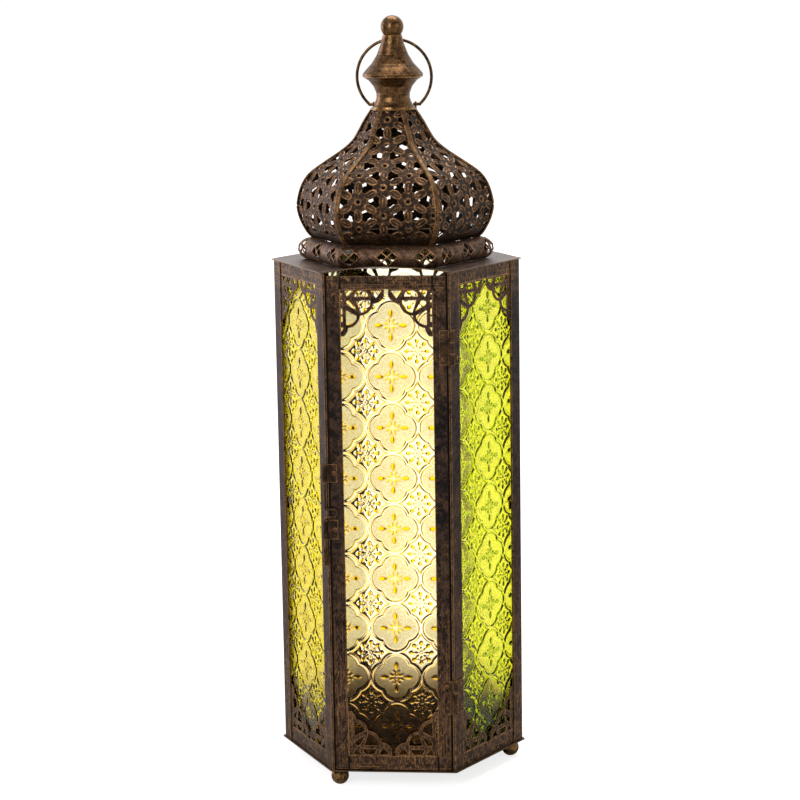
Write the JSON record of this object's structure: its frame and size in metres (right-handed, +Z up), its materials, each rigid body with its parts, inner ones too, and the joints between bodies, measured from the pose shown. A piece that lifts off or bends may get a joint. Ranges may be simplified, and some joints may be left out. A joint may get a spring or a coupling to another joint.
{
  "type": "candle lantern",
  "caption": "Hexagonal glazed sheet-metal candle lantern on ball feet, with a hinged door and drop bolt, a pierced ribbed dome, a turned finial and a bail ring.",
  "frame": {"origin": "on the lantern's axis, in the plane that its feet stand on", "axes": "+Z up through the finial, the door on the -Y face, corners of the hexagon on the X axis, +X to the right seen from the door"},
  "size_m": [0.2, 0.1753, 0.6024],
  "materials": {
    "bronze": "antiqued bronze lacquer, worn lighter on raised edges",
    "dark_bronze": "darker antiqued bronze, satin",
    "old_gold": "rubbed antique brass",
    "green_glass": "pressed relief glass, lime green",
    "amber_glass": "pressed relief glass, amber",
    "clear_glass": "pressed relief glass, nearly clear"
  },
  "bodies": {
    "lantern": {"base_tray": "dark_bronze", "candle_cup": "old_gold", "foot_front_left": "dark_bronze", "foot_right": "dark_bronze", "foot_back_left": "dark_bronze", "foot_nuts": "old_gold", "post_right": "bronze", "post_back_right": "bronze", "post_back_left": "bronze", "post_left": "bronze", "post_front_left": "bronze", "post_front_right": "bronze", "frame_front_right": "bronze", "frame_back_right": "bronze", "frame_back": "bronze", "frame_back_left": "bronze", "frame_front_left": "bronze", "fretwork_front_right": "bronze", "fretwork_back_right": "bronze", "fretwork_back": "bronze", "fretwork_back_left": "bronze", "fretwork_front_left": "bronze", "glass_front_right": "green_glass", "glass_back_right": "amber_glass", "glass_back": "clear_glass", "glass_back_left": "amber_glass", "glass_front_left": "green_glass", "glass_clips": "dark_bronze", "roof_plate": "bronze", "dome_moulding": "bronze", "gore_front": "bronze", "gore_front_right": "bronze", "gore_back_right": "bronze", "gore_back": "bronze", "gore_back_left": "bronze", "gore_front_left": "bronze", "dome_ribs": "old_gold", "dome_collar": "old_gold", "finial_drum": "old_gold", "finial_cone": "bronze", "finial_knob": "bronze", "finial_stud": "dark_bronze", "finial_nut": "dark_bronze", "bail_ears": "old_gold", "hinge_leaf_post_low": "dark_bronze", "hinge_leaf_post_high": "dark_bronze", "hinge_pins": "old_gold", "rivets_post": "old_gold", "latch_keeper": "dark_bronze"},
    "door": {"door_frame": "bronze", "door_fretwork": "bronze", "door_glass": "clear_glass", "door_clips": "dark_bronze", "hinge_leaf_door_low": "dark_bronze", "hinge_leaf_door_high": "dark_bronze", "rivets_door": "old_gold", "latch_bracket_low": "dark_bronze", "latch_bracket_high": "dark_bronze"},
    "drop_bolt": {"latch_bolt": "old_gold"},
    "bail": {"bail_ring": "dark_bronze"}
  },
  "joints": [
    {"name": "door_hinge", "type": "hinge", "parent": "lantern", "child": "door", "pos_m": [0.0501, -0.08677, 0.2137], "axis": [0, 0, 1], "range_deg": [0, 200]},
    {"name": "bolt_slide", "type": "slide", "parent": "door", "child": "drop_bolt", "axis": [0, 0, 1], "range_m": [0, 0.018]},
    {"name": "bail_pivot", "type": "hinge", "parent": "lantern", "child": "bail", "pos_m": [0, 0.01192, 0.53232], "axis": [-1, 0, 0], "range_deg": [0, 135]}
  ]
}
